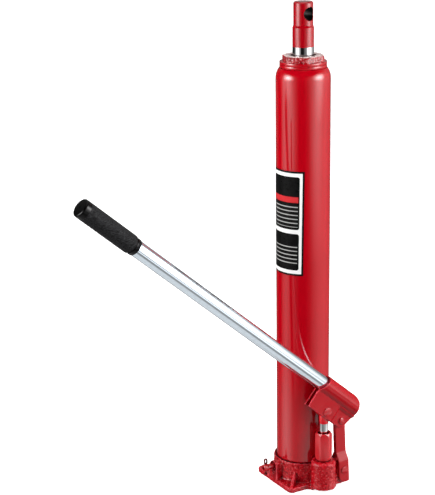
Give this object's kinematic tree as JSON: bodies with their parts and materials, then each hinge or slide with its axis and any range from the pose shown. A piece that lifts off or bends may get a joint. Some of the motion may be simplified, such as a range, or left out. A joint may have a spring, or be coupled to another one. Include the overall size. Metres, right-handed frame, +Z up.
{
  "type": "single-acting hydraulic cylinder",
  "caption": "Red long-ram single-acting hydraulic cylinder with its own oil reservoir, hand pump, pump handle and release valve on a cast foot.",
  "frame": {"origin": "on the cylinder's axis, at the underside of the foot plate", "axes": "+Z up along the ram, -Y to the pump, -X to the handle and the release valve"},
  "size_m": [0.3868, 0.1087, 0.63],
  "materials": {
    "paint_red": "gloss",
    "cast_red": "rough cast under gloss paint",
    "chrome_rod": "polished, upper end painted red",
    "plated_tube": "bright plated",
    "steel": "machined",
    "bronze": "machined",
    "black_rubber": "matte",
    "white_plastic": "matte",
    "grip_black": "fine texture"
  },
  "bodies": {
    "frame": {"base": "cast_red", "reservoir_tube": "paint_red", "filler_plug": "black_rubber", "tube_seal": "black_rubber", "base_gasket": "black_rubber", "inner_cylinder": "steel", "cylinder_washer": "bronze", "top_washer": "paint_red", "gland_nut": "paint_red", "guide_bush": "bronze", "rod_seal": "black_rubber", "wiper": "black_rubber", "valve_plugs": "steel", "valve_balls": "steel", "valve_springs": "steel", "suction_strainer": "steel", "pump_cylinder": "paint_red", "pump_washer": "paint_red", "pump_wiper": "black_rubber", "lower_link_pin": "paint_red", "lower_pin_clip": "steel", "release_ball": "steel"},
    "ram_body": {"ram": "chrome_rod", "piston": "steel", "piston_seal": "black_rubber", "piston_backup_ring": "white_plastic", "wear_ring": "bronze", "piston_nut": "steel", "stop_sleeve": "steel"},
    "link_body": {"link_front": "paint_red", "link_back": "paint_red"},
    "socket_body": {"handle_socket": "paint_red", "upper_link_pin": "paint_red", "plunger_pin": "paint_red", "plunger_pin_clip": "steel"},
    "plunger_body": {"plunger": "chrome_rod", "plunger_oring": "black_rubber", "plunger_backup_ring": "white_plastic"},
    "handle_body": {"handle_tube": "plated_tube", "handle_grip": "grip_black"},
    "release_body": {"release_spindle": "paint_red", "spindle_oring": "black_rubber", "release_pin": "steel"}
  },
  "joints": [
    {"name": "ram_slide", "type": "slide", "parent": "frame", "child": "ram_body", "axis": [0, 0, 1], "range_m": [0, 0.47]},
    {"name": "link_rock", "type": "hinge", "parent": "frame", "child": "link_body", "pos_m": [0.0266, -0.05, 0.0237], "axis": [0, 1, 0], "range_deg": [-3, 6.5]},
    {"name": "handle_swing", "type": "hinge", "parent": "link_body", "child": "socket_body", "pos_m": [0.02343, -0.05, 0.09255], "axis": [0, -1, 0], "range_deg": [-12.8, 31.5]},
    {"name": "plunger_slide", "type": "slide", "parent": "frame", "child": "plunger_body", "axis": [0, 0, 1], "range_m": [-0.0118, 0.005]},
    {"name": "handle_pull", "type": "slide", "parent": "socket_body", "child": "handle_body", "axis": [-0.7585, 0, 0.6517], "range_m": [0, 0.06]},
    {"name": "release_turn", "type": "hinge", "parent": "frame", "child": "release_body", "pos_m": [-0.0466, 0, 0.0235], "axis": [-1, 0, 0], "range_deg": [0, 360]}
  ],
  "couplings": [
    {"joint": "link_rock", "follows": "handle_swing", "ratio": 0.176},
    {"joint": "plunger_slide", "follows": "handle_swing", "m_per_rad": -0.0207}
  ]
}
